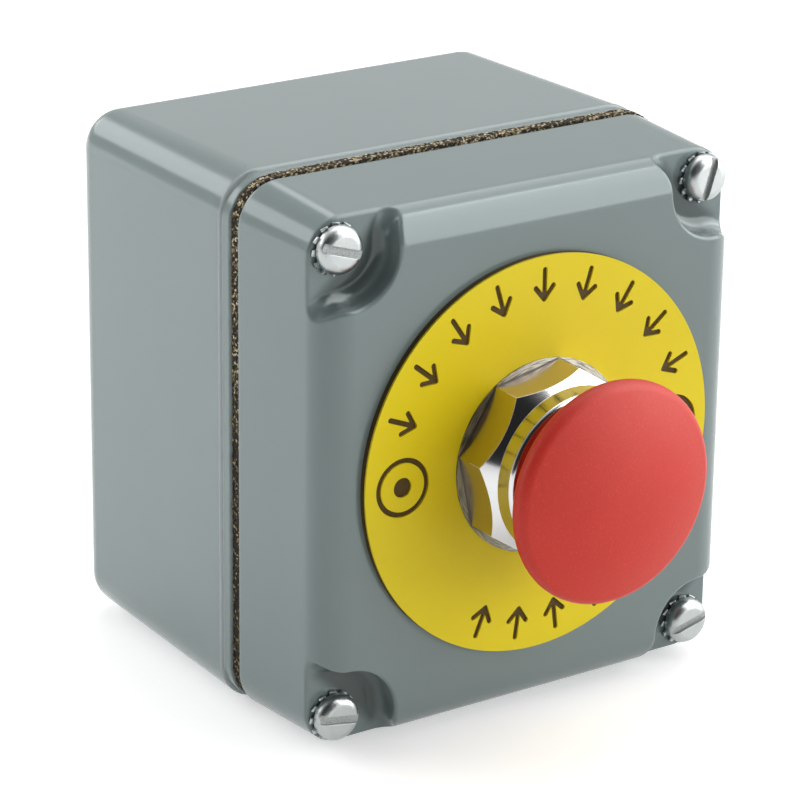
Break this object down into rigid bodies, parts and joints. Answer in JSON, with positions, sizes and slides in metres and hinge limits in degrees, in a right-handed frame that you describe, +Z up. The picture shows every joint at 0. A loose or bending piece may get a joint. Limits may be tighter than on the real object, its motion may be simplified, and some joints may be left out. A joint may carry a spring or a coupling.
{
  "type": "emergency stop push button",
  "caption": "Wall-mounted emergency stop station: grey cast box and gasketed cover, yellow legend plate, chrome octagon nut and a red push-pull mushroom button over contact blocks.",
  "frame": {"origin": "centre of the flat back of the box, on the wall plane and the actuator's axis", "axes": "+X to the right for the operator, +Y into the wall, +Z up; the operator stands towards -Y"},
  "size_m": [0.0906, 0.1104, 0.0992],
  "materials": {
    "grey_enamel": "gloss enamel over a die casting, soft orange peel",
    "cork_rubber": "cork granules bound in dark rubber, cut edge",
    "zinc_steel": "bright zinc plate",
    "dark_laminate": "sawn edge of a laminate core",
    "yellow_laminate": "satin engraving laminate",
    "chrome_plate": "bright chrome plate",
    "black_rubber": "moulded seal",
    "zinc_casting": "zinc casting, as turned",
    "spring_steel": "drawn wire and stamped clip",
    "turned_steel": "turned",
    "black_plastic": "moulded phenolic",
    "ivory_plastic": "moulded thermoset",
    "contact_brass": "stamped",
    "red_plastic": "fine satin texture"
  },
  "bodies": {
    "enclosure": {"base_box": "grey_enamel", "cover": "grey_enamel", "gasket": "cork_rubber", "cover_screws": "zinc_steel", "lock_washers": "zinc_steel", "legend_core": "dark_laminate", "legend_face": "yellow_laminate", "bezel_nut": "chrome_plate", "wiper_ring": "black_rubber", "panel_seal": "black_rubber", "actuator_bushing": "zinc_casting", "detent_spring": "spring_steel", "contact_mount": "black_plastic", "mount_screws": "zinc_steel", "block_screws": "zinc_steel", "left_contact_housing": "black_plastic", "left_contact_lid": "ivory_plastic", "left_fixed_contacts": "contact_brass", "left_terminal_clamps": "zinc_steel", "left_terminal_screws": "zinc_steel", "left_contact_spring": "spring_steel", "right_contact_housing": "black_plastic", "right_contact_lid": "ivory_plastic", "right_fixed_contacts": "contact_brass", "right_terminal_clamps": "zinc_steel", "right_terminal_screws": "zinc_steel", "right_contact_spring": "spring_steel", "earth_washer": "contact_brass", "earth_screw": "contact_brass"},
    "button": {"mushroom_head": "red_plastic", "plunger_shaft": "turned_steel", "pressure_plate": "black_plastic", "retaining_clip": "spring_steel"},
    "left_contact": {"left_contact_plunger": "ivory_plastic", "left_contact_bridge": "contact_brass"},
    "right_contact": {"right_contact_plunger": "ivory_plastic", "right_contact_bridge": "contact_brass"}
  },
  "joints": [
    {"name": "button_press", "type": "slide", "parent": "enclosure", "child": "button", "axis": [0, 1, 0], "range_m": [0, 0.0053], "deforming": ["detent_spring"]},
    {"name": "left_contact_slide", "type": "slide", "parent": "enclosure", "child": "left_contact", "axis": [0, 1, 0], "range_m": [0, 0.0053], "deforming": ["left_contact_spring"]},
    {"name": "right_contact_slide", "type": "slide", "parent": "enclosure", "child": "right_contact", "axis": [0, 1, 0], "range_m": [0, 0.0053], "deforming": ["right_contact_spring"]}
  ],
  "couplings": [
    {"joint": "left_contact_slide", "follows": "button_press", "ratio": 1},
    {"joint": "right_contact_slide", "follows": "button_press", "ratio": 1}
  ]
}
